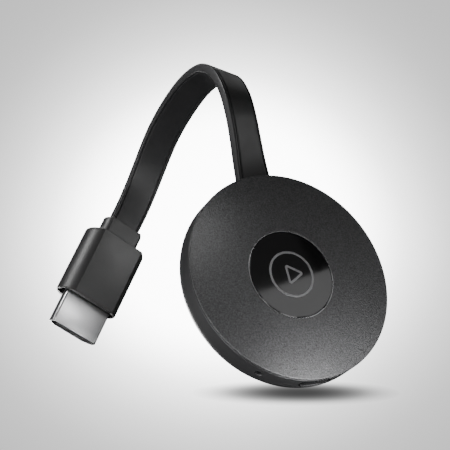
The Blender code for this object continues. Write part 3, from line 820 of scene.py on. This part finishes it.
# ------------------------------------------------------------------ pieces kept from the frame
KEPT_FINISHES = {
    "board_mask": ["main_board"],
    "chip_epoxy": ["system_chip", "memory_chip", "flash_chip", "radio_module", "switch_plunger"],
    "insert_black": ["cable_header", "cable_clamp", "switch_body"],
    "cable_skin": ["cable_tail"],
    "plated_steel": ["radio_shield", "crystal"],
    "spring_steel": ["board_screw_1", "board_screw_2", "board_screw_3", "heat_spreader"],
    "gold_plate": ["antenna_left", "antenna_right", "plug_contacts_upper", "plug_contacts_lower"],
    "ceramic": ["status_led"],
    "thermal_grey": ["thermal_pad", "power_inductor"],
    "adhesive_film": ["badge_adhesive"],
}


def finish_kept_pieces():
    for name, nodes in KEPT_FINISHES.items():
        for node in nodes:
            for slot in frame["nodes"][node].material_slots:
                slot.material = FINISHES[name]


# ------------------------------------------------------------------ stage
VIEW_FROM = Vector((-0.1632, -0.2692, 0.0703))
VIEW_AT = Vector((-0.0130, 0.0053, 0.0371))
VIEW_LENS = 107.3


def camera():
    data = bpy.data.cameras.new("camera")
    data.lens = VIEW_LENS
    data.sensor_width = 36.0
    data.clip_start, data.clip_end = 0.01, 10.0
    obj = bpy.data.objects.new("camera", data)
    bpy.context.scene.collection.objects.link(obj)
    obj.location = VIEW_FROM
    obj.rotation_euler = (VIEW_AT - VIEW_FROM).to_track_quat("-Z", "Y").to_euler()
    bpy.context.scene.camera = obj


# The round pool of light on the backdrop, as if thrown from a lamp in front and to the left
POOL_FROM = Vector((-0.18, -0.30, 0.09))
POOL_AT = Vector((-0.013, 0.005, 0.043))
POOL_SPREAD = 0.268  # how wide the pool is, over how far it is thrown
POOL_TONES = (
    (0.0, 1.0), (0.30, 1.0), (0.39, 0.55), (0.47, 0.27), (0.58, 0.14), (0.72, 0.08), (0.9, 0.068),
)

# The soft shade under the casing: an oval's middle, turn and half sizes
SHADE_MIDDLE = (-0.0048, -0.0135, 0.0)
SHADE_TURN = math.radians(-28.7)
SHADE_REACH = (0.024, 0.013, 1.0)
SHADE_TONES = ((0.2, 0.03), (0.42, 0.07), (0.62, 0.2), (0.8, 0.62), (0.98, 1.0))

BACKDROP_STRENGTH = 12.0
BACKDROP_FLAT_R = 0.35
BACKDROP_BEND_R = 0.45
BACKDROP_TOP = 1.6


def placed(nodes, links, coordinates, location, rotation, scale=(1.0, 1.0, 1.0)):
    """The coordinates as seen from a frame of their own."""
    mapping = nodes.new("ShaderNodeMapping")
    mapping.vector_type = "TEXTURE"
    mapping.inputs["Location"].default_value = location
    mapping.inputs["Rotation"].default_value = rotation
    mapping.inputs["Scale"].default_value = scale
    links.new(coordinates.outputs["Object"], mapping.inputs["Vector"])
    return mapping.outputs["Vector"]


def worked_out(nodes, links, operation, *values):
    """The result of one Math node over other nodes' outputs or numbers."""
    node = nodes.new("ShaderNodeMath")
    node.operation = operation
    for socket, value in zip(node.inputs, values):
        if isinstance(value, float):
            socket.default_value = value
        else:
            links.new(value, socket)
    return node.outputs["Value"]


def grey_tones(nodes, links, value, tones):
    """A soft run of greys over a value, from its (place, grey) points."""
    ramp = nodes.new("ShaderNodeValToRGB")
    ramp.color_ramp.interpolation = "B_SPLINE"
    elements = ramp.color_ramp.elements
    elements.remove(elements[1])
    for i, (place, grey) in enumerate(tones):
        stop = elements[0] if i == 0 else elements.new(place)
        stop.position = place
        stop.color = (grey, grey, grey, 1.0)
    links.new(value, ramp.inputs["Fac"])
    return ramp.outputs["Color"]


def pool_of_light(nodes, links, coordinates):
    """A round pool that falls off with the angle from the line it is thrown along."""
    turn = (POOL_AT - POOL_FROM).to_track_quat("Z", "Y").to_euler()
    split = nodes.new("ShaderNodeSeparateXYZ")
    links.new(placed(nodes, links, coordinates, POOL_FROM, turn), split.inputs["Vector"])
    squares = []
    for axis in ("X", "Y"):
        ratio = worked_out(nodes, links, "DIVIDE", split.outputs[axis], split.outputs["Z"])
        squares.append(worked_out(nodes, links, "MULTIPLY", ratio, ratio))
    off_line = worked_out(nodes, links, "SQRT", worked_out(nodes, links, "ADD", *squares))
    off_line = worked_out(nodes, links, "DIVIDE", off_line, POOL_SPREAD)
    return grey_tones(nodes, links, off_line, POOL_TONES)


def casing_shade(nodes, links, coordinates):
    """A soft dark oval where the casing meets the floor."""
    turn = (0.0, 0.0, SHADE_TURN)
    oval = placed(nodes, links, coordinates, SHADE_MIDDLE, turn, SHADE_REACH)
    reach = nodes.new("ShaderNodeVectorMath")
    reach.operation = "LENGTH"
    links.new(oval, reach.inputs[0])
    return grey_tones(nodes, links, reach.outputs["Value"], SHADE_TONES)


def backdrop_paint():
    """A glow of its own: a painted pool of light round the object and a dark painted shadow where
    the casing meets the floor.
    """
    material = bpy.data.materials.new("backdrop_paint")
    material.use_nodes = True
    nodes, links = material.node_tree.nodes, material.node_tree.links
    nodes.clear()
    output = nodes.new("ShaderNodeOutputMaterial")
    glow = nodes.new("ShaderNodeEmission")
    glow.inputs["Strength"].default_value = BACKDROP_STRENGTH
    links.new(glow.outputs["Emission"], output.inputs["Surface"])
    coordinates = nodes.new("ShaderNodeTexCoord")
    both = nodes.new("ShaderNodeMix")
    both.data_type = "RGBA"
    both.blend_type = "MULTIPLY"
    both.inputs["Factor"].default_value = 1.0
    links.new(pool_of_light(nodes, links, coordinates), both.inputs["A"])
    links.new(casing_shade(nodes, links, coordinates), both.inputs["B"])
    links.new(both.outputs["Result"], glow.inputs["Color"])
    return material


def backdrop():
    """A wide dish: a flat floor whose edge curves up all round. It glows and takes no light."""
    bend = arc(BACKDROP_BEND_R, BACKDROP_BEND_R, BACKDROP_BEND_R, -90, 0, 24)
    profile = [(0.0, 0.0), (BACKDROP_FLAT_R, 0.0)] + bend
    profile.append((2 * BACKDROP_BEND_R, BACKDROP_TOP))
    bm = turned(profile, 96)
    mesh = bpy.data.meshes.new("backdrop")
    bm.to_mesh(mesh)
    bm.free()
    mesh.materials.append(backdrop_paint())
    mesh.shade_smooth()
    dish = bpy.data.objects.new("backdrop", mesh)
    bpy.context.scene.collection.objects.link(dish)
    dish.visible_diffuse = False
    dish.visible_glossy = False
    dish.visible_shadow = False


def surround():
    """A dim grey surround: what polished pieces mirror where no lamp is."""
    world = bpy.data.worlds.new("surround")
    world.use_nodes = True
    background = world.node_tree.nodes["Background"]
    background.inputs["Color"].default_value = (1.0, 1.0, 1.0, 1.0)
    background.inputs["Strength"].default_value = 0.01
    bpy.context.scene.world = world


def soft_light(name, place, at, width, height, radiance, up=(0.0, 0.0, 1.0), roll=0.0):
    """A soft rectangular lamp. radiance is its brightness, whatever its size."""
    data = bpy.data.lights.new(name, "AREA")
    data.shape = "RECTANGLE"
    data.size, data.size_y = width * MM, height * MM
    data.energy = radiance * data.size * data.size_y * math.pi
    obj = bpy.data.objects.new(name, data)
    bpy.context.scene.collection.objects.link(obj)
    back = (Vector(place) - Vector(at)).normalized()
    across = Vector(up).cross(back).normalized()
    facing = frame_of(Vector(place) * MM, across, back.cross(across), back)
    obj.matrix_world = facing @ Matrix.Rotation(math.radians(roll), 4, "Z")
    obj.visible_camera = False


# Far lamps stand on a sphere round the object and face its middle
LAMPS_MIDDLE = Vector((-8.0, 20.0, 35.0))
LAMPS_R = 340.0


def far_place(turn, lift):
    """A place on the far lamps' sphere, by degrees from the front to the right, and upwards."""
    turn, lift = math.radians(turn), math.radians(lift)
    flat = Vector((math.sin(turn), -math.cos(turn), 0.0)) * math.cos(lift)
    return LAMPS_MIDDLE + (flat + Vector((0.0, 0.0, math.sin(lift)))) * LAMPS_R


# Each lamp: name, place and what it faces in millimetres, width, height and brightness
LAMPS = (
    ("low_front", (0, -32, 6), (0, -15, 7), 16, 16, 23.0),
    ("low_front_right", (30, -38, 22), (8, -13, 9), 16, 16, 6.0),
    ("low_front_left", (-60, -60, 5), (-20, -5, 10), 30, 30, 18.0),
    ("face_left", (-16, -10, 49), (-19, 2, 33), 12, 12, 5.0),
    ("front_right", (250, -134, 152), (-4, 18, 48), 80, 80, 5.0),
    ("front_high", far_place(30, 40), LAMPS_MIDDLE, 130, 130, 0.12),
    ("left", far_place(-105, 12), LAMPS_MIDDLE, 130, 130, 3.2),
    ("left_low", far_place(-90, -22), LAMPS_MIDDLE, 130, 130, 12.0),
    ("left_high", far_place(-120, 40), LAMPS_MIDDLE, 130, 130, 12.0),
    ("right_high", far_place(120, 40), LAMPS_MIDDLE, 130, 130, 0.8),
    ("behind_low", far_place(180, -22), LAMPS_MIDDLE, 130, 130, 10.0),
    ("behind", (80, 300, 200), (0, 20, 35), 160, 130, 7.0),
    ("plug_top", (5, 28, 34), (-12, 56, 27), 12, 14, 6.0),
    ("plug_middle", (-3, 25, 23), (-20, 53, 16), 12, 14, 0.6),
    ("plug_mouth", (-11, 22, 12), (-27, 50, 4), 12, 14, 0.6),
    ("plug_mouth_left", (-21, 23, 18), (-37, 51, 11), 12, 14, 3.3),
)

# The long card that the polished badge mirrors
BADGE_CARD = ("badge_card", (131, -149, 175), (1, -6, 24), 66, 30, 1.9)
BADGE_CARD_UP = (0.04, 0.59, 0.81)
BADGE_CARD_ROLL = 8.0


def lights():
    for lamp in LAMPS:
        soft_light(*lamp)
    soft_light(*BADGE_CARD, up=BADGE_CARD_UP, roll=BADGE_CARD_ROLL)


# ------------------------------------------------------------------ building it
front_cover()
rear_cover()
badge()
badge_mark()
reset_button()
light_pipe()
power_socket()
flat_cable(plug())
finish_kept_pieces()
camera()
backdrop()
surround()
lights()
